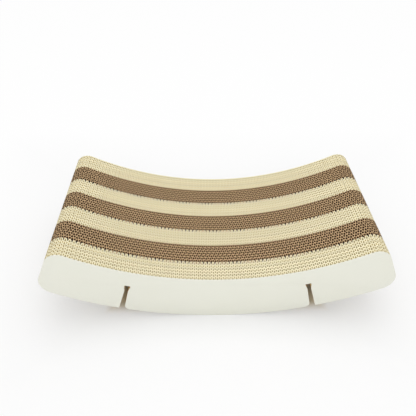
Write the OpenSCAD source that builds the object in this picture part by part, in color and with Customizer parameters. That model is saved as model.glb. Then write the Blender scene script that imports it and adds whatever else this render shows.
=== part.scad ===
// Curved cardboard cat scratcher: corrugated sheets on edge, glued face to face between
// two white panels. X is the length, Y the depth with the front at -Y, Z is up. The origin
// is on the floor, under the middle of the block.

/* [Block] */
// Overall length, end to end
overall_l = 560; // [480:5:700]
// Thickness of the curved slab, along its radius
slab_t = 85; // [72:1:120]
// Radius of the hollow top
top_r = 520; // [450:5:800]
// Lean of each end face from upright
end_lean = 23.5; // [15:0.5:30]
// Radius of the upper corner of each end
end_top_r = 22; // [8:1:30]
// Radius of the lower corner of each end
end_bottom_r = 26; // [10:1:34]

/* [Sheets] */
// Thickness of one cream sheet
cream_sheet_t = 6.4; // [3:0.1:8]
// Thickness of one brown sheet
brown_sheet_t = 5.7; // [3:0.1:8]
// Number of sheets in one cream stripe
cream_sheets = 6; // [2:1:8]
// Number of sheets in one brown stripe
brown_sheets = 7; // [2:1:8]
// Number of stripes from front to back
stripe_count = 7; // [3:1:7]
// Thickness of the white panel on the front and on the back
panel_t = 1.2; // [0.5:0.1:3]

/* [Leg slots] */
// Distance between the two slots, at their mouths
slot_spacing = 315; // [220:1:380]
// Depth of each slot, along the radius of the block
slot_depth = 55; // [30:1:65]
// Width of a slot across the top of its head
slot_head_w = 10; // [8:0.2:16]
// Width of a slot at its neck
slot_neck_w = 5.8; // [4:0.2:8]
// Width of a slot at its mouth
slot_mouth_w = 8.6; // [6:0.2:14]
// Length over which a slot widens from its neck to its head
slot_flare_l = 12; // [6:0.5:20]
// Clipped corner at the head of a slot
slot_head_clip = 1.2; // [0.4:0.1:2.5]
// Radius of the mouth's lip on the side of the block's middle
inner_lip_r = 9; // [3:0.5:14]
// Radius of the mouth's lip on the side of the block's end
outer_lip_r = 2.5; // [1:0.5:8]

/* [Hidden] */
$fn = 360;
cream = "#E6DBB8";
brown = "#8C6F58";
white_board = "#E9E9E1";

// Every cutting shape passes its target by this much
overrun = 4;
// A corner's waste reaches past the corner by this share of the corner's radius
waste_reach_share = 1.4;
// A round is cut this much larger than one that only grazes its edges, so it crosses them
round_bleed = 0.02;

outer_r = top_r + slab_t;
// Centre of the arcs, in the plane of a sheet
hub = [0, outer_r];

overall_d = stripe_offset(stripe_count + 1) + 2 * panel_t;

// The lower corner's round sets how far each end reaches
end_round_a = asin((overall_l / 2 - end_bottom_r) / (outer_r - end_bottom_r));
// Where that round runs into the right-hand end face
end_point = hub + (outer_r - end_bottom_r) * outward(end_round_a) + end_bottom_r * endward(end_lean);
slot_a = asin(slot_spacing / 2 / outer_r);

function is_cream(stripe) = stripe % 2 == 1;

function sheet_name(stripe, sheet) =
    str("stripe_", stripe, is_cream(stripe) ? "_cream" : "_brown", "_sheet_", sheet);

function sheet_t(stripe) = is_cream(stripe) ? cream_sheet_t : brown_sheet_t;

function sheet_count(stripe) = is_cream(stripe) ? cream_sheets : brown_sheets;

// Depth of all the stripes in front of one, which alternate from a cream one at the front
function stripe_offset(stripe) =
    floor(stripe / 2) * cream_sheets * cream_sheet_t
    + floor((stripe - 1) / 2) * brown_sheets * brown_sheet_t;

// Front face of a sheet
function sheet_y(stripe, sheet) =
    panel_t - overall_d / 2 + stripe_offset(stripe) + (sheet - 1) * sheet_t(stripe);

// Unit vector away from the hub, at an angle from straight down
function outward(angle) = [sin(angle), -cos(angle)];

// Unit vector along the arcs, towards the right-hand end
function endward(angle) = [cos(angle), sin(angle)];

// Centre of a round that touches a straight edge and an arc about the hub. The edge passes
// through a point in the direction along, the solid lies on its side across, and reach is
// the distance from the hub to the centre of the round.
function round_centre(point, along, across, radius, reach) =
    let (
        start = point + radius * across - hub,
        half_b = start * along,
        root = sqrt(half_b * half_b - start * start + reach * reach)
    )
    hub + start + (sign(half_b) * root - half_b) * along;

// What a round takes off a corner: the corner's patch, less the disc of the round
module corner_waste(centre, to_edge, to_arc, radius) {
    reach = waste_reach_share * radius;
    difference() {
        polygon([
            centre,
            centre + reach * to_edge,
            centre + reach * (to_edge + to_arc),
            centre + reach * to_arc
        ]);
        translate(centre) circle(r = radius + round_bleed);
    }
}

// Waste of a corner between a straight edge and the underside
module outer_corner_waste(point, along, across, radius) {
    reach = outer_r - radius;
    centre = round_centre(point, along, across, radius, reach);
    corner_waste(centre, -across, (centre - hub) / reach, radius);
}

// Waste of a corner between a straight edge and the hollow top
module inner_corner_waste(point, along, across, radius) {
    reach = top_r + radius;
    centre = round_centre(point, along, across, radius, reach);
    corner_waste(centre, -across, (hub - centre) / reach, radius);
}

// The lower and the upper corner of the right-hand end
module end_waste() {
    outer_corner_waste(end_point, outward(end_lean), -endward(end_lean), end_bottom_r);
    inner_corner_waste(end_point, outward(end_lean), -endward(end_lean), end_top_r);
}

// One lip of a slot that stands upright at the block's middle, on the side given
module lip_waste(side, radius) {
    edge = [side * (slot_neck_w - slot_mouth_w) / 2, slot_depth - slot_flare_l];
    along = edge / norm(edge);
    outer_corner_waste([side * slot_mouth_w / 2, 0], along, side * [along[1], -along[0]], radius);
}

// Outline of a slot that stands upright at the block's middle, mouth down
module slot_outline() {
    neck_z = slot_depth - slot_flare_l;
    mouth_spread = (slot_mouth_w - slot_neck_w) / 2 * overrun / neck_z;
    clip_in = slot_head_w / 2 - slot_head_clip;
    half = [
        [slot_mouth_w / 2 + mouth_spread, -overrun],
        [slot_neck_w / 2, neck_z],
        [slot_head_w / 2, slot_depth - slot_head_clip],
        [clip_in, slot_depth]
    ];
    polygon(concat(half, [for (i = [len(half) - 1 : -1 : 0]) [-half[i][0], half[i][1]]]));
}

// The right-hand slot with its two lips
module slot_waste() {
    translate(hub) rotate(slot_a) translate(-hub) {
        slot_outline();
        lip_waste(-1, inner_lip_r);
        lip_waste(1, outer_lip_r);
    }
}

// The whole slab between its end faces, before any corner or slot is cut
module ring_sector() {
    below = end_point + 2 * slab_t * outward(end_lean);
    above = end_point - 2 * slab_t * outward(end_lean);
    intersection() {
        difference() {
            translate(hub) circle(r = outer_r);
            translate(hub) circle(r = top_r);
        }
        polygon([below, above, [-above[0], above[1]], [-below[0], below[1]]]);
    }
}

// Outline that every sheet and both panels are cut to
module sheet_outline() {
    difference() {
        ring_sector();
        for (turned = [0, 1]) mirror([turned, 0]) {
            end_waste();
            slot_waste();
        }
    }
}

// A flat board of that outline, standing on edge, with its front face at y
module board(y, thickness) {
    translate([0, y + thickness, 0]) rotate([90, 0, 0])
        linear_extrude(height = thickness) sheet_outline();
}

module front_panel() {
    color(white_board) board(-overall_d / 2, panel_t);
}

module back_panel() {
    color(white_board) board(overall_d / 2 - panel_t, panel_t);
}

module corrugated_sheet(stripe, sheet) {
    color(is_cream(stripe) ? cream : brown) board(sheet_y(stripe, sheet), sheet_t(stripe));
}

front_panel();
for (stripe = [1 : stripe_count]) for (sheet = [1 : sheet_count(stripe)])
    corrugated_sheet(stripe, sheet);
back_panel();
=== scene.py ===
"""Dressed model of a curved cardboard cat scratcher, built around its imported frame.

X is the length, Y the depth with the front at -Y, and Z is up, in metres. Every corrugated sheet
is single-faced board, fluted paper with a liner behind it, cut to the outline of its own node.
Where a cream stripe meets the brown one behind it, its last sheet is bare fluted paper, whose
crests show as teeth.
"""
import logging
import math
import random
from collections.abc import Callable
from dataclasses import dataclass
from enum import Enum

import bmesh
import bpy
from mathutils import Matrix, Vector


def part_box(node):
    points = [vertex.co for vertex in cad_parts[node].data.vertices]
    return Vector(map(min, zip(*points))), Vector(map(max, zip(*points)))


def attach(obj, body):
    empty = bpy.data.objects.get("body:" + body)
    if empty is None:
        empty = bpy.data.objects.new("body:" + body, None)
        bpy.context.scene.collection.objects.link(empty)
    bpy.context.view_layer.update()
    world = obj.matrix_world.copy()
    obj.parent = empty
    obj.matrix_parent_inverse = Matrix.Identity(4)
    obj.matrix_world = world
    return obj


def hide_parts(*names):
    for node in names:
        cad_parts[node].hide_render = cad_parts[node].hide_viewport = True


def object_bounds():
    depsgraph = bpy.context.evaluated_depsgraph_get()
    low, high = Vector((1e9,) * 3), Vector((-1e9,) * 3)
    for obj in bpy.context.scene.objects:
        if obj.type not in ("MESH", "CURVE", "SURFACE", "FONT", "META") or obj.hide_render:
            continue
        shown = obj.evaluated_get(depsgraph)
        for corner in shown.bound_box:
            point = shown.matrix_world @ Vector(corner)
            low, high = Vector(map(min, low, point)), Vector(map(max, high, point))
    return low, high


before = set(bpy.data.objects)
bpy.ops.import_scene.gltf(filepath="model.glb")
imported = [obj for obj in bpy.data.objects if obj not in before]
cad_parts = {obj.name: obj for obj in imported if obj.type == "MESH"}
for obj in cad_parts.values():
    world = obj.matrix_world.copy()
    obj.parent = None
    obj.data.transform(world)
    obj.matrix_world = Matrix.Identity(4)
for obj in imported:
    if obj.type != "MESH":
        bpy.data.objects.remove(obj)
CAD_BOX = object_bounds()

MM = 0.001
BODY = "root"
# Points of a copied solid that lie this close are one point
MERGE_MM = 0.001
log = logging.getLogger("cat_scratcher")

# Faces that meet at less than this angle are shaded as one rounded surface
SMOOTH_ANGLE = math.radians(35)
# The faces of a board's rim look along Y by less than this share
RIM_SHARE = 0.5
# Fibre stands up on a cut edge, so its tooth is this deep, deeper than on a paper's flat side
CUT_TOOTH_MM = 0.1
# Sockets of a colour Mix node, whose names stand for several kinds of value each
MIX_SHARE, MIX_A, MIX_B, MIX_OUT = 0, 6, 7, 2


# Small tools


def linear(hex_colour: str) -> tuple[float, float, float, float]:
    """Turn an sRGB hex colour into linear values, by the curve of the sRGB standard.

    Args:
        hex_colour: Colour as #RRGGBB.

    Returns:
        Linear red, green and blue, and an alpha of one.
    """
    parts = [int(hex_colour[i : i + 2], 16) / 255 for i in (1, 3, 5)]
    r, g, b = (c / 12.92 if c <= 0.04045 else ((c + 0.055) / 1.055) ** 2.4 for c in parts)
    return r, g, b, 1.0


def add_node(
    tree: bpy.types.NodeTree,
    kind: str,
    inputs: dict[str | int, object] | None = None,
    **settings: object,
) -> bpy.types.Node:
    """Add a node with its settings and links.

    Args:
        tree: Node tree that takes the node.
        kind: Blender's name of the node type.
        inputs: Socket name or number to a value, or to the output socket that feeds it.
        **settings: Properties of the node.

    Returns:
        The new node.
    """
    node = tree.nodes.new(kind)
    for name, value in settings.items():
        setattr(node, name, value)
    for key, value in (inputs or {}).items():
        if isinstance(value, bpy.types.NodeSocket):
            tree.links.new(value, node.inputs[key])
        else:
            node.inputs[key].default_value = value
    return node


def blank_material(name: str) -> tuple[bpy.types.Material, bpy.types.NodeTree]:
    """Make a material with an empty node tree.

    Args:
        name: Name of the material.

    Returns:
        The material and its tree.
    """
    made = bpy.data.materials.new(name)
    made.use_nodes = True
    made.node_tree.nodes.clear()
    return made, made.node_tree


def per_metre(feature_mm: float) -> float:
    """Give the pattern scale at which one feature is this many millimetres wide."""
    return 1 / (feature_mm * MM)


def deselect_all() -> None:
    """Go back to object mode and leave nothing selected."""
    if bpy.context.mode != "OBJECT":
        bpy.ops.object.mode_set(mode="OBJECT")
    bpy.ops.object.select_all(action="DESELECT")


def make_active(*pieces: bpy.types.Object) -> None:
    """Select these objects alone and make the first of them the active one.

    Args:
        *pieces: Objects to select.
    """
    deselect_all()
    for piece in pieces:
        piece.select_set(True)
    bpy.context.view_layer.objects.active = pieces[0]


def select_points(piece: bpy.types.Object, wanted: Callable[[Vector], bool]) -> None:
    """Select points in edit mode by their place.

    Args:
        piece: Object in edit mode.
        wanted: Test of a point's place.
    """
    bpy.ops.mesh.select_mode(type="VERT")
    bpy.ops.mesh.select_all(action="DESELECT")
    mesh = bmesh.from_edit_mesh(piece.data)
    for point in mesh.verts:
        point.select = wanted(point.co)
    mesh.select_flush(True)
    bmesh.update_edit_mesh(piece.data)


def select_rim(piece: bpy.types.Object) -> None:
    """Select the faces of a flat board's rim, which look neither forward nor back.

    Args:
        piece: Board in edit mode.
    """
    bpy.ops.mesh.select_mode(type="FACE")
    bpy.ops.mesh.select_all(action="DESELECT")
    mesh = bmesh.from_edit_mesh(piece.data)
    for face in mesh.faces:
        face.select = abs(face.normal.y) < RIM_SHARE
    bmesh.update_edit_mesh(piece.data)


def apply_modifier(piece: bpy.types.Object, kind: str, **settings: object) -> None:
    """Add a modifier with its settings and apply it.

    Args:
        piece: Object to change.
        kind: Blender's name of the modifier type.
        **settings: Properties of the modifier.
    """
    make_active(piece)
    modifier = piece.modifiers.new(kind.title(), kind)
    for name, value in settings.items():
        setattr(modifier, name, value)
    bpy.ops.object.modifier_apply(modifier=modifier.name)


def merged_copy(node: str, name: str) -> bpy.types.Object:
    """Copy a frame node's solid and merge its loose triangles into one closed skin.

    Args:
        node: Name of the frame node.
        name: Name of the copy.

    Returns:
        The copy at the origin, with its own mesh and no material.
    """
    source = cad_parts[node]
    piece = bpy.data.objects.new(name, source.data.copy())
    bpy.context.scene.collection.objects.link(piece)
    piece.data.name = name
    piece.data.materials.clear()
    make_active(piece)
    bpy.ops.object.mode_set(mode="EDIT")
    bpy.ops.mesh.select_all(action="SELECT")
    bpy.ops.mesh.remove_doubles(threshold=MERGE_MM * MM)
    bpy.ops.object.mode_set(mode="OBJECT")
    return piece


def join(name: str, *pieces: bpy.types.Object) -> bpy.types.Object:
    """Join pieces into the first one.

    Args:
        name: Name of the joined piece.
        *pieces: Objects to join.

    Returns:
        The joined piece.
    """
    make_active(*pieces)
    bpy.ops.object.join()
    pieces[0].name = pieces[0].data.name = name
    return pieces[0]


def settle(piece: bpy.types.Object, node: str, slot: str) -> None:
    """Give a finished piece its place in the frame.

    Args:
        piece: Finished piece, at the origin.
        node: Frame node that it stands for.
        slot: Material slot of the record. Not used.
    """
    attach(piece, BODY)
    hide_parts(node)


# Finishes


def paper_surface(
    tree: bpy.types.NodeTree,
    where: bpy.types.NodeSocket,
    tone: bpy.types.NodeSocket,
    finish: "KraftPaper | CoatedBoard",
) -> None:
    """Finish a paper's material with its shader, whose bump is the tooth of the paper.

    Args:
        tree: Tree in the making.
        where: Object coordinates.
        tone: Colour of the paper.
        finish: Finish that holds the tooth, the roughness and the specular level.
    """
    tooth = add_node(
        tree,
        "ShaderNodeTexNoise",
        {"Vector": where, "Scale": per_metre(finish.tooth_mm), "Detail": finish.tooth_detail},
    )
    bump = add_node(
        tree,
        "ShaderNodeBump",
        {
            "Height": tooth.outputs["Fac"],
            "Strength": finish.tooth_strength,
            "Distance": finish.tooth_depth_mm * MM,
        },
    )
    shader = add_node(
        tree,
        "ShaderNodeBsdfPrincipled",
        {
            "Base Color": tone,
            "Roughness": finish.roughness,
            "Specular IOR Level": finish.specular,
            "Normal": bump.outputs["Normal"],
        },
    )
    add_node(tree, "ShaderNodeOutputMaterial", {"Surface": shader.outputs["BSDF"]})


@dataclass(frozen=True)
class KraftPaper:
    """Uncoated paper of a corrugated sheet, made of pressed wood fibre.

    It is fully matt, and cloudy where the pulp lies thicker or thinner. Longer fibres show as
    short darker strokes, and the surface has a faint tooth.
    """

    name: str
    tone: str
    thin_tone: str
    fibre_tone: str
    # Clouds in the pulp
    cloud_mm: float = 9.0
    cloud_detail: float = 3.0
    cloud_roughness: float = 0.6
    # Pulp fibre is 3 mm long and 0.05 mm thick. It is drawn thicker, so that it shows at all.
    fibre_l_mm: float = 4.0
    fibre_t_mm: float = 0.5
    fibre_detail: float = 2.0
    # Noise at which a fibre starts to show and at which it shows most, and its share there
    fibre_noise: tuple[float, float] = (0.6, 0.75)
    fibre_share: float = 0.4
    # Sheets of one stack differ a little in tone, from the darkest to the lightest one
    sheet_mm: float = 5.0
    sheet_noise: tuple[float, float] = (0.3, 0.7)
    sheet_lift: tuple[float, float] = (0.93, 1.07)
    tooth_mm: float = 0.4
    tooth_depth_mm: float = 0.05
    tooth_strength: float = 0.5
    tooth_detail: float = 2.0
    roughness: float = 0.92
    specular: float = 0.25

    def material(self) -> bpy.types.Material:
        """Build the paper, on Object coordinates.

        Returns:
            The material.
        """
        made, tree = blank_material(self.name)
        where = add_node(tree, "ShaderNodeTexCoord").outputs["Object"]
        tone = self._sheet_tone(tree, where, self._fibres(tree, where, self._clouds(tree, where)))
        paper_surface(tree, where, tone, self)
        return made

    def _clouds(self, tree: bpy.types.NodeTree, where: bpy.types.NodeSocket) -> bpy.types.NodeSocket:
        """Mix the two tones of the pulp.

        Args:
            tree: Tree in the making.
            where: Object coordinates.

        Returns:
            Cloudy colour.
        """
        clouds = add_node(
            tree,
            "ShaderNodeTexNoise",
            {
                "Vector": where,
                "Scale": per_metre(self.cloud_mm),
                "Detail": self.cloud_detail,
                "Roughness": self.cloud_roughness,
            },
        )
        mixed = add_node(
            tree,
            "ShaderNodeMix",
            {
                MIX_SHARE: clouds.outputs["Fac"],
                MIX_A: linear(self.tone),
                MIX_B: linear(self.thin_tone),
            },
            data_type="RGBA",
        )
        return mixed.outputs[MIX_OUT]

    def _fibres(
        self, tree: bpy.types.NodeTree, where: bpy.types.NodeSocket, under: bpy.types.NodeSocket
    ) -> bpy.types.NodeSocket:
        """Lay the longer fibres over the pulp.

        Args:
            tree: Tree in the making.
            where: Object coordinates.
            under: Colour under the fibres.

        Returns:
            Colour with fibres.
        """
        stretched = add_node(
            tree,
            "ShaderNodeMapping",
            {"Vector": where, "Scale": (1.0, 1.0, self.fibre_t_mm / self.fibre_l_mm)},
        )
        fibres = add_node(
            tree,
            "ShaderNodeTexNoise",
            {
                "Vector": stretched.outputs[0],
                "Scale": per_metre(self.fibre_t_mm),
                "Detail": self.fibre_detail,
            },
        )
        share = add_node(
            tree,
            "ShaderNodeMapRange",
            {
                "Value": fibres.outputs["Fac"],
                "From Min": self.fibre_noise[0],
                "From Max": self.fibre_noise[1],
                "To Max": self.fibre_share,
            },
        )
        mixed = add_node(
            tree,
            "ShaderNodeMix",
            {MIX_SHARE: share.outputs["Result"], MIX_A: under, MIX_B: linear(self.fibre_tone)},
            data_type="RGBA",
        )
        return mixed.outputs[MIX_OUT]

    def _sheet_tone(
        self, tree: bpy.types.NodeTree, where: bpy.types.NodeSocket, under: bpy.types.NodeSocket
    ) -> bpy.types.NodeSocket:
        """Let the tone drift from sheet to sheet, through the stack.

        Args:
            tree: Tree in the making.
            where: Object coordinates.
            under: Colour of the average sheet.

        Returns:
            Colour of this sheet.
        """
        depth = add_node(tree, "ShaderNodeSeparateXYZ", {"Vector": where}).outputs["Y"]
        drift = add_node(
            tree,
            "ShaderNodeTexNoise",
            {"W": depth, "Scale": per_metre(self.sheet_mm), "Detail": 0.0},
            noise_dimensions="1D",
        )
        lift = add_node(
            tree,
            "ShaderNodeMapRange",
            {
                "Value": drift.outputs["Fac"],
                "From Min": self.sheet_noise[0],
                "From Max": self.sheet_noise[1],
                "To Min": self.sheet_lift[0],
                "To Max": self.sheet_lift[1],
            },
        )
        toned = add_node(
            tree, "ShaderNodeHueSaturation", {"Value": lift.outputs["Result"], "Color": under}
        )
        return toned.outputs["Color"]


@dataclass(frozen=True)
class CoatedBoard:
    """Smooth off-white board of the front and back panels.

    Its thin clay coating is even and nearly matt, with a very faint shade where the board under
    it is not quite flat.
    """

    name: str = "clay_coated_white_board"
    tone: str = "#E5E5DA"
    shade_tone: str = "#E3E3D6"
    cloud_mm: float = 70.0
    cloud_detail: float = 2.0
    # Fluting under the board telegraphs through as a faint ripple, finer than shows from afar
    tooth_mm: float = 1.2
    tooth_depth_mm: float = 0.02
    tooth_strength: float = 0.4
    tooth_detail: float = 3.0
    roughness: float = 0.6
    specular: float = 0.35

    def material(self) -> bpy.types.Material:
        """Build the board, on Object coordinates.

        Returns:
            The material.
        """
        made, tree = blank_material(self.name)
        where = add_node(tree, "ShaderNodeTexCoord").outputs["Object"]
        clouds = add_node(
            tree,
            "ShaderNodeTexNoise",
            {"Vector": where, "Scale": per_metre(self.cloud_mm), "Detail": self.cloud_detail},
        )
        tone = add_node(
            tree,
            "ShaderNodeMix",
            {
                MIX_SHARE: clouds.outputs["Fac"],
                MIX_A: linear(self.tone),
                MIX_B: linear(self.shade_tone),
            },
            data_type="RGBA",
        )
        paper_surface(tree, where, tone.outputs[MIX_OUT], self)
        return made


class Paper(Enum):
    """The two papers of the stripes, by the word in their nodes' names."""

    CREAM = "cream"
    BROWN = "brown"

    def wall(self) -> KraftPaper:
        """Give the finish of this paper's flat sides, which show inside the flutes, darker than the
        cut edges: partly as real fluting paper is, mostly as painted shade deep in the flutes.

        Returns:
            The finish.
        """
        # Both tones are darker than the cut edges, partly as real fluting paper is, mostly as painted
        # shade inside the flutes
        if self is Paper.CREAM:
            return KraftPaper("cream_paper_painted_shade", "#E5D7A7", "#DCCC98", "#BCA36B")
        return KraftPaper("brown_paper_painted_shade", "#3C230C", "#331D0A", "#261506")

    def cut_edge(self) -> KraftPaper:
        """Give the finish of this paper's cut edges, which are paler, with fibre standing up.

        Returns:
            The finish.
        """
        if self is Paper.CREAM:
            tones = ("cream_cut_edge", "#EFE7C8", "#E8DFBB", "#CEBD8E")
        else:
            tones = ("brown_cut_edge", "#CCAC84", "#C0A078", "#90704B")
        return KraftPaper(*tones, tooth_depth_mm=CUT_TOOTH_MM)

    def slot_wall(self) -> KraftPaper:
        """Give the finish of the cut edges in the leg slots, golden brown as painted warm light that
        bounces between the kraft sides in their shade.

        Returns:
            The finish.
        """
        if self is Paper.CREAM:
            tones = ("cream_slot_wall", "#EEB864", "#E0A855", "#B28034")
        else:
            tones = ("brown_slot_wall", "#C99B57", "#B98B4A", "#8C6633")
        return KraftPaper(*tones, tooth_depth_mm=CUT_TOOTH_MM)

    def offset_share(self) -> float:
        """Give the share of a flute by which every other sheet is cut further on."""
        return 0.0 if self is Paper.CREAM else 0.25

    def drawn_mm(self) -> tuple[float, float, float]:
        """Give the pitch of the flutes, and the thickness of the liner and of the fluted paper."""
        # The papers are drawn as thick as their fuzzy cut edges look, so that they show at all
        return (6.0, 1.2, 1.4) if self is Paper.CREAM else (7.0, 0.8, 0.9)

    def slot(self) -> str:
        """Give the record's material slot of this paper."""
        return f"{self.value}_corrugated"


# The block


@dataclass
class FlutedSheet:
    """One single-faced corrugated sheet, standing on edge, with its flutes upright.

    The liner is at its back. The crests at its front are glued to what stands before it.
    """

    # Frame node whose outline and thickness the sheet takes
    node: str
    # Where in a flute the paper starts at the sheet's end, as a share of the pitch
    phase_share: float
    flute_pitch_mm: float
    liner_mm: float
    medium_mm: float
    # Flat sides, darkened as painted shade inside the flutes
    wall: bpy.types.Material
    cut_edge: bpy.types.Material
    # Cut edges in the leg slots, tinted golden as painted warm bounce light
    slot_wall: bpy.types.Material
    # Without a liner the crests at the back touch the next sheet and show as teeth
    lined: bool = True
    # The crests are pressed this far into the glue on the liners
    glue_mm: float = 0.4
    # The wavy paper is cut from a band that passes the outline by this much on every side
    spare_mm: float = 8.0
    # Cut faces at these distances from the middle and at these heights line a leg slot and take its
    # painted warm bounce light
    slot_x_mm: tuple[float, float] = (130.0, 170.0)
    slot_z_mm: tuple[float, float] = (24.0, 90.0)

    # Places along one flute, as shares of its pitch, and the paper's height there, as shares of
    # its full swing: straight flanks, rounded shoulders and narrow flat crests glued to a liner
    PLACE_SHARES = (-0.04, 0.04, 0.1, 0.4, 0.46, 0.54, 0.6, 0.9, 0.96)
    HEIGHT_SHARES = (-0.75, 0.75, 1.0, 1.0, 0.75, -0.75, -1.0, -1.0, -0.75)

    def build(self, name: str) -> bpy.types.Object:
        """Model the sheet where its node is.

        Args:
            name: Name of the piece.

        Returns:
            The sheet as one piece.
        """
        papers = [self._medium(), self._liner()] if self.lined else [self._medium()]
        sheet = join(name, *papers)
        make_active(sheet)
        bpy.ops.object.shade_smooth_by_angle(angle=SMOOTH_ANGLE)
        self._paint_slot_bounce(sheet)
        return sheet

    def _paint_slot_bounce(self, sheet: bpy.types.Object) -> None:
        """Give the cut faces in the leg slots their finish of painted warm bounce light.

        Args:
            sheet: The joined sheet.
        """
        sheet.data.materials.append(self.slot_wall)
        near, far = (side * MM for side in self.slot_x_mm)
        low, high = (height * MM for height in self.slot_z_mm)
        make_active(sheet)
        bpy.ops.object.mode_set(mode="EDIT")
        bpy.ops.mesh.select_mode(type="FACE")
        bpy.ops.mesh.select_all(action="DESELECT")
        mesh = bmesh.from_edit_mesh(sheet.data)
        for face in mesh.faces:
            place = face.calc_center_median()
            inside = near < abs(place.x) < far and low < place.z < high
            face.select = inside and sheet.data.materials[face.material_index] == self.cut_edge
        bmesh.update_edit_mesh(sheet.data)
        sheet.active_material_index = len(sheet.data.materials) - 1
        bpy.ops.object.material_slot_assign()
        bpy.ops.object.mode_set(mode="OBJECT")

    def _liner(self) -> bpy.types.Object:
        """Model the flat liner by thinning a copy of the node towards its back.

        Returns:
            The liner.
        """
        low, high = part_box(self.node)
        liner = merged_copy(self.node, "liner")
        liner.data.materials.append(self.wall)
        liner.data.materials.append(self.cut_edge)
        middle = (low.y + high.y) / 2
        bpy.ops.object.mode_set(mode="EDIT")
        select_points(liner, lambda place: place.y < middle)
        bpy.ops.transform.translate(value=(0, high.y - low.y - self.liner_mm * MM, 0))
        select_rim(liner)
        liner.active_material_index = 1
        bpy.ops.object.material_slot_assign()
        bpy.ops.object.mode_set(mode="OBJECT")
        return liner

    def _medium(self) -> bpy.types.Object:
        """Model the fluted paper and cut it to the node's outline.

        Returns:
            The fluted paper.
        """
        low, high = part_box(self.node)
        pitch, spare = self.flute_pitch_mm * MM, self.spare_mm * MM
        tall = high.z - low.z + 2 * spare
        flutes = math.ceil((high.x - low.x + 2 * spare) / pitch) + 1
        behind_mm = self.liner_mm - self.glue_mm if self.lined else 0.0
        back = high.y - behind_mm * MM
        medium = self._one_flute((back - low.y - self.medium_mm * MM) / 2, tall)
        apply_modifier(
            medium,
            "ARRAY",
            count=flutes,
            use_relative_offset=False,
            use_constant_offset=True,
            constant_offset_displace=(pitch, 0, 0),
            use_merge_vertices=True,
            merge_threshold=MERGE_MM * MM,
        )
        apply_modifier(
            medium,
            "SOLIDIFY",
            thickness=self.medium_mm * MM,
            offset=0,
            use_even_offset=True,
        )
        medium.location = (
            low.x - spare - self.phase_share * pitch,
            (low.y + back) / 2,
            low.z - spare,
        )
        make_active(medium)
        bpy.ops.object.transform_apply(location=True, rotation=True, scale=True)
        medium.data.materials.append(self.wall)
        outline = merged_copy(self.node, "outline")
        outline.data.materials.append(self.cut_edge)
        apply_modifier(
            medium,
            "BOOLEAN",
            operation="INTERSECT",
            solver="MANIFOLD",
            material_mode="TRANSFER",
            object=outline,
        )
        bpy.data.objects.remove(outline)
        return medium

    def _one_flute(self, swing: float, tall: float) -> bpy.types.Object:
        """Draw one flute of paper with no thickness, from its start at the origin.

        Args:
            swing: Height of a crest, either way.
            tall: Length of the flute.

        Returns:
            The flute.
        """
        pitch = self.flute_pitch_mm * MM
        steps = len(self.PLACE_SHARES) - 1
        # A column takes the points within a quarter of the way to the next column
        near = 1 / (4 * steps)
        deselect_all()
        bpy.ops.mesh.primitive_grid_add(
            x_subdivisions=steps, y_subdivisions=1, size=1, rotation=(math.pi / 2, 0, 0)
        )
        flute = bpy.context.object
        bpy.ops.object.transform_apply(location=True, rotation=True, scale=True)
        bpy.ops.object.mode_set(mode="EDIT")
        bpy.ops.mesh.select_all(action="SELECT")
        bpy.ops.transform.translate(value=(0.5, 0, 0.5))
        bpy.ops.transform.resize(value=(1, 1, tall), center_override=(0, 0, 0))
        columns = list(zip(self.PLACE_SHARES, self.HEIGHT_SHARES, strict=True))
        for step, (place, height) in enumerate(columns):
            at = step / steps
            select_points(flute, lambda point: abs(point.x - at) < near)
            bpy.ops.transform.translate(value=(place * pitch - at, height * swing, 0))
        bpy.ops.object.mode_set(mode="OBJECT")
        return flute


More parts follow.
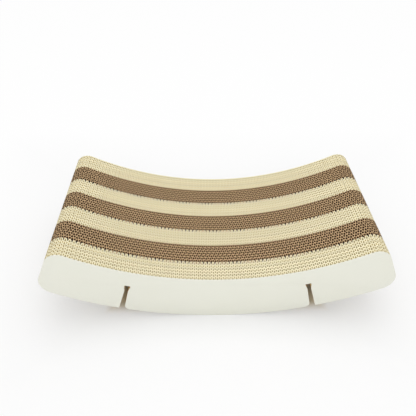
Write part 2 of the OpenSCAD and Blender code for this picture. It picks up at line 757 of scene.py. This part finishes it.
@dataclass
class Stripes:
    """The stack of corrugated sheets, in stripes of one paper each, from front to back."""

    # Sheets that differ in where their flutes start. Each is modelled once and copied.
    variants: int = 8
    # Where in a flute a sheet starts, and the share of a flute that it may be off, either way
    start_share: float = 0.5
    stagger_share: float = 0.05
    # Seed of the draw that deals the variants to the sheets
    seed: int = 7

    def build(self) -> int:
        """Model the variants of both papers and stand a copy of one on every sheet's node.

        A bare sheet isn't a copy. It is modelled on its own node.

        Returns:
            Number of sheets.
        """
        draw = random.Random(self.seed)
        count = 0
        for paper in Paper:
            # The flat sides' finish holds painted shade, and the slot edges' finish holds painted
            # warm bounce light
            papers = [kind().material() for kind in (paper.wall, paper.cut_edge, paper.slot_wall)]
            nodes = [n for n in sorted(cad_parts) if f"_{paper.value}_sheet_" in n]
            models = []
            for i in range(self.variants):
                phase = self.start_share + i % 2 * paper.offset_share()
                phase += draw.uniform(-self.stagger_share, self.stagger_share)
                sheet = FlutedSheet(nodes[i], phase, *paper.drawn_mm(), *papers)
                models.append(sheet.build(f"{paper.value}_model_{i}"))
            places = [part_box(nodes[i])[0].y for i in range(self.variants)]
            dealt = self._deal(draw)
            for number, node in enumerate(nodes):
                if self._meets_brown(node):
                    shape = (self.start_share, *paper.drawn_mm())
                    sheet = FlutedSheet(node, *shape, *papers, lined=False).build(f"fluted_{node}")
                else:
                    variant = dealt[number % self.variants]
                    sheet = self._stand(models[variant], places[variant], node)
                settle(sheet, node, paper.slot())
                log.info("%s: %d faces", sheet.name, len(sheet.data.polygons))
                count += 1
            for model in models:
                bpy.data.objects.remove(model)
        return count

    def _meets_brown(self, node: str) -> bool:
        """Tell whether a sheet is the last one of a cream stripe, with a brown stripe behind it.

        Args:
            node: Frame node of the sheet.

        Returns:
            Whether it is.
        """
        _, stripe, paper, _, number = node.split("_")
        next_sheet = f"stripe_{stripe}_{paper}_sheet_{int(number) + 1}"
        next_stripe = f"stripe_{int(stripe) + 1}_brown_sheet_1"
        return next_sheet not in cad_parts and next_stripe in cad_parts

    def _deal(self, draw: random.Random) -> list[int]:
        """Shuffle the variants, so that even and odd ones still take turns.

        Args:
            draw: Source of the draw.

        Returns:
            Every variant once, in the order in which the sheets take them.
        """
        even, odd = (range(start, self.variants, 2) for start in (0, 1))
        even, odd = (draw.sample(kind, len(kind)) for kind in (even, odd))
        return [variant for pair in zip(even, odd, strict=True) for variant in pair]

    def _stand(self, model: bpy.types.Object, place: float, node: str) -> bpy.types.Object:
        """Copy a modelled sheet to a node.

        Args:
            model: Sheet to copy.
            place: Front face of the modelled sheet.
            node: Frame node where the copy stands.

        Returns:
            The copy, at the origin, with its place in its mesh.
        """
        make_active(model)
        bpy.ops.object.duplicate(linked=False)
        sheet = bpy.context.object
        bpy.ops.transform.translate(value=(0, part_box(node)[0].y - place, 0))
        bpy.ops.object.transform_apply(location=True, rotation=True, scale=True)
        sheet.name = sheet.data.name = f"fluted_{node}"
        return sheet


@dataclass
class Panels:
    """The smooth white boards on the front and the back."""

    # Die-cut board has a slightly broken edge, where faces meet at more than this angle
    edge_mm: float = 0.25
    edge_segments: int = 2
    edge_deg: float = 60.0
    # Triangles that lie in one plane to within this angle become one face
    flat_deg: float = 0.1

    def build(self) -> int:
        """Model both panels.

        Returns:
            Number of panels.
        """
        material = CoatedBoard().material()
        nodes = ("front_panel", "back_panel")
        for node in nodes:
            panel = merged_copy(node, f"white_{node}")
            panel.data.materials.append(material)
            bpy.ops.object.mode_set(mode="EDIT")
            bpy.ops.mesh.select_all(action="SELECT")
            bpy.ops.mesh.dissolve_limited(angle_limit=math.radians(self.flat_deg))
            bpy.ops.object.mode_set(mode="OBJECT")
            apply_modifier(
                panel,
                "BEVEL",
                width=self.edge_mm * MM,
                segments=self.edge_segments,
                limit_method="ANGLE",
                angle_limit=math.radians(self.edge_deg),
            )
            make_active(panel)
            bpy.ops.object.shade_smooth_by_angle(angle=SMOOTH_ANGLE)
            settle(panel, node, "white_board")
            log.info("%s: %d faces", panel.name, len(panel.data.polygons))
        return len(nodes)


# The studio


def seen_itself(tree: bpy.types.NodeTree, path: bpy.types.Node) -> bpy.types.NodeSocket:
    """Tell what is seen, straight or in gloss or glass, from what only casts light.

    Args:
        tree: Tree in the making.
        path: Light Path node of the tree.

    Returns:
        One where it is seen, and nothing elsewhere.
    """
    seen = path.outputs["Is Camera Ray"]
    for kind in ("Is Glossy Ray", "Is Transmission Ray"):
        sockets = {0: seen, 1: path.outputs[kind]}
        seen = add_node(tree, "ShaderNodeMath", sockets, operation="MAXIMUM").outputs[0]
    return seen


@dataclass(frozen=True)
class PhotoCamera:
    """Camera at the photograph's viewing angle, turned about Z, then X, then its own axis."""

    place_mm: tuple[float, float, float] = (-34.9, -649.4, 637.2)
    turn_deg: float = -1.904
    tilt_deg: float = 51.475
    roll_deg: float = 0.705
    lens_mm: float = 41.16
    sensor_mm: float = 36.0
    # Nearest and farthest distance that it sees
    clip_m: tuple[float, float] = (0.01, 100.0)

    def build(self) -> None:
        """Make the camera and look through it."""
        data = bpy.data.cameras.new("photo_camera")
        data.lens = self.lens_mm
        data.sensor_width = self.sensor_mm
        data.clip_start, data.clip_end = self.clip_m
        camera = bpy.data.objects.new("photo_camera", data)
        bpy.context.scene.collection.objects.link(camera)
        turned = (
            Matrix.Rotation(math.radians(self.turn_deg), 4, "Z")
            @ Matrix.Rotation(math.radians(self.tilt_deg), 4, "X")
            @ Matrix.Rotation(math.radians(self.roll_deg), 4, "Z")
        )
        camera.matrix_world = Matrix.Translation(Vector(self.place_mm) * MM) @ turned
        bpy.context.scene.camera = camera


@dataclass(frozen=True)
class Lamp:
    """One softbox, with its place, its target and its size in metres."""

    name: str
    place: tuple[float, float, float]
    target: tuple[float, float, float]
    size: tuple[float, float]
    watts: float
    tone: str = "#FFFFFF"

    def build(self) -> None:
        """Hang the lamp and aim it."""
        data = bpy.data.lights.new(self.name, "AREA")
        data.shape = "RECTANGLE"
        data.size, data.size_y = self.size
        data.energy = self.watts
        data.color = linear(self.tone)[:3]
        lamp = bpy.data.objects.new(self.name, data)
        bpy.context.scene.collection.objects.link(lamp)
        lamp.location = self.place
        aim = Vector(self.target) - Vector(self.place)
        lamp.rotation_euler = aim.to_track_quat("-Z", "Y").to_euler()


@dataclass(frozen=True)
class Studio:
    """White sweep with soft light from above and from the front."""

    floor_m: float = 16.0
    # Tone that the camera sees in the floor, and the tone with which it throws light back up
    floor_tone: str = "#E6E6E6"
    bounce_tone: str = "#F8F8F8"
    # Share of plain white that the camera sees in the floor far away, over its lit tone
    floor_white_share: float = 0.95
    # The block touches the floor or nearly does along this share of its length. Outwards from
    # the edge of that place, the white comes in over the first stretch, and no faster than it
    # would over the second one, which leaves the object its wide soft shadow.
    contact_share: float = 0.7
    contact_mm: tuple[float, float] = (-25.0, 20.0)
    shadow_mm: tuple[float, float] = (-220.0, 340.0)
    # Deep under the block only light off its papers arrives, and the camera sees that warm bounce
    # light painted into the floor's colour there. These distances are inwards from the same place.
    painted_bounce_tone: str = "#F4E0BA"
    painted_bounce_full_mm: float = 45.0
    painted_bounce_from_mm: float = 5.0
    sky_tone: str = "#FFFFFF"
    # Strength of the sky's light near the horizon and overhead, and the heights on a sphere of
    # one metre between which it grows
    sky_low_strength: float = 0.35
    sky_high_strength: float = 0.92
    sky_heights: tuple[float, float] = (0.1, 0.7)
    lamps: tuple[Lamp, ...] = (
        Lamp("overhead_softbox", (0.1, 0.4, 1.9), (0.0, 0.0, 0.0), (1.8, 1.2), 11.8),
        Lamp("front_softbox", (0.0, -1.9, 1.4), (0.0, 0.0, 0.05), (2.0, 0.8), 11.8),
    )

    def build(self) -> None:
        """Lay the floor, light it and set the view transform."""
        bpy.context.scene.view_settings.view_transform = "Standard"
        self._floor()
        self._sky()
        for lamp in self.lamps:
            lamp.build()

    def _floor(self) -> None:
        """Lay a plain pale floor that shows white and keeps the object's soft shadow."""
        deselect_all()
        bpy.ops.mesh.primitive_plane_add(size=self.floor_m)
        floor = bpy.context.object
        floor.name = floor.data.name = "studio_floor"
        floor.data.materials.append(self._floor_material())

    def _floor_material(self) -> bpy.types.Material:
        """Build the floor's matt paint, with plain white mixed in for the camera.

        Returns:
            The material.
        """
        made, tree = blank_material("matt_white_floor")
        path = add_node(tree, "ShaderNodeLightPath")
        away = self._distance(tree)
        lit = add_node(tree, "ShaderNodeBsdfDiffuse", {"Color": self._floor_colour(tree, path, away)})
        white = add_node(tree, "ShaderNodeEmission", {"Color": linear("#FFFFFF"), "Strength": 1.0})
        share = self._white_share(tree, seen_itself(tree, path), away)
        mixed = add_node(
            tree, "ShaderNodeMixShader", {0: share, 1: lit.outputs[0], 2: white.outputs[0]}
        )
        add_node(tree, "ShaderNodeOutputMaterial", {"Surface": mixed.outputs[0]})
        return made

    def _distance(self, tree: bpy.types.NodeTree) -> bpy.types.NodeSocket:
        """Measure how far outside the place that the block nearly touches a point lies.

        Args:
            tree: Tree in the making.

        Returns:
            Distance along X or Y, whichever is larger, and less than nothing inside.
        """
        half = [max(abs(low), high) for low, high in zip(*CAD_BOX, strict=True)]
        half[0] *= self.contact_share
        where = add_node(tree, "ShaderNodeTexCoord").outputs["Object"]
        mirrored = add_node(tree, "ShaderNodeVectorMath", {0: where}, operation="ABSOLUTE")
        past = add_node(
            tree,
            "ShaderNodeVectorMath",
            {0: mirrored.outputs["Vector"], 1: half},
            operation="SUBTRACT",
        )
        past = add_node(tree, "ShaderNodeSeparateXYZ", {"Vector": past.outputs["Vector"]})
        sockets = {0: past.outputs["X"], 1: past.outputs["Y"]}
        return add_node(tree, "ShaderNodeMath", sockets, operation="MAXIMUM").outputs[0]

    def _white_share(
        self, tree: bpy.types.NodeTree, seen: bpy.types.NodeSocket, away: bpy.types.NodeSocket
    ) -> bpy.types.NodeSocket:
        """Let plain white come in with the distance, where the floor itself is seen.

        Args:
            tree: Tree in the making.
            seen: One where the floor itself is seen.
            away: Distance from the place that the block nearly touches.

        Returns:
            Share of plain white.
        """
        share = seen
        for start_mm, end_mm in (self.contact_mm, self.shadow_mm):
            grown = add_node(
                tree,
                "ShaderNodeMapRange",
                {
                    "Value": away,
                    "From Min": start_mm * MM,
                    "From Max": end_mm * MM,
                    "To Max": self.floor_white_share,
                },
            )
            sockets = {0: share, 1: grown.outputs["Result"]}
            share = add_node(tree, "ShaderNodeMath", sockets, operation="MINIMUM").outputs[0]
        return share

    def _floor_colour(
        self, tree: bpy.types.NodeTree, path: bpy.types.Node, away: bpy.types.NodeSocket
    ) -> bpy.types.NodeSocket:
        """Choose the tone that the camera sees, with warm bounce light painted in deep under the
        block, or that of the bounce.

        Args:
            tree: Tree in the making.
            path: Light Path node of the tree.
            away: Distance from the place that the block nearly touches.

        Returns:
            Colour of the paint.
        """
        # Painted warm bounce light, full deep under the block and gone near the edge of the place it
        # nearly touches
        painted_bounce_share = add_node(
            tree,
            "ShaderNodeMapRange",
            {
                "Value": away,
                "From Min": -self.painted_bounce_full_mm * MM,
                "From Max": -self.painted_bounce_from_mm * MM,
                "To Min": 1.0,
                "To Max": 0.0,
            },
        )
        tone = add_node(
            tree,
            "ShaderNodeMix",
            {
                MIX_SHARE: painted_bounce_share.outputs["Result"],
                MIX_A: linear(self.floor_tone),
                MIX_B: linear(self.painted_bounce_tone),
            },
            data_type="RGBA",
        )
        tone = add_node(
            tree,
            "ShaderNodeMix",
            {
                MIX_SHARE: path.outputs["Is Camera Ray"],
                MIX_A: linear(self.bounce_tone),
                MIX_B: tone.outputs[MIX_OUT],
            },
            data_type="RGBA",
        )
        return tone.outputs[MIX_OUT]

    def _sky(self) -> None:
        """Surround the sweep with soft light that shows as white."""
        world = bpy.data.worlds.new("studio_sky")
        bpy.context.scene.world = world
        world.use_nodes = True
        tree = world.node_tree
        tree.nodes.clear()
        seen = seen_itself(tree, add_node(tree, "ShaderNodeLightPath"))
        toward = add_node(tree, "ShaderNodeTexCoord").outputs["Generated"]
        height = add_node(tree, "ShaderNodeSeparateXYZ", {"Vector": toward}).outputs["Z"]
        cast = add_node(
            tree,
            "ShaderNodeMapRange",
            {
                "Value": height,
                "From Min": self.sky_heights[0],
                "From Max": self.sky_heights[1],
                "To Min": self.sky_low_strength,
                "To Max": self.sky_high_strength,
            },
        )
        strength = add_node(
            tree,
            "ShaderNodeMapRange",
            {"Value": seen, "To Min": cast.outputs["Result"], "To Max": 1.0},
        )
        light = add_node(
            tree,
            "ShaderNodeBackground",
            {"Color": linear(self.sky_tone), "Strength": strength.outputs["Result"]},
        )
        add_node(tree, "ShaderNodeOutputWorld", {"Surface": light.outputs[0]})


def main() -> None:
    """Build the scratcher and its studio, and report each piece."""
    logging.basicConfig(level=logging.INFO, format="%(name)s: %(message)s")
    PhotoCamera().build()
    Studio().build()
    log.info("panels: %d", Panels().build())
    log.info("sheets: %d", Stripes().build())
    deselect_all()


if __name__ == "__main__":
    main()
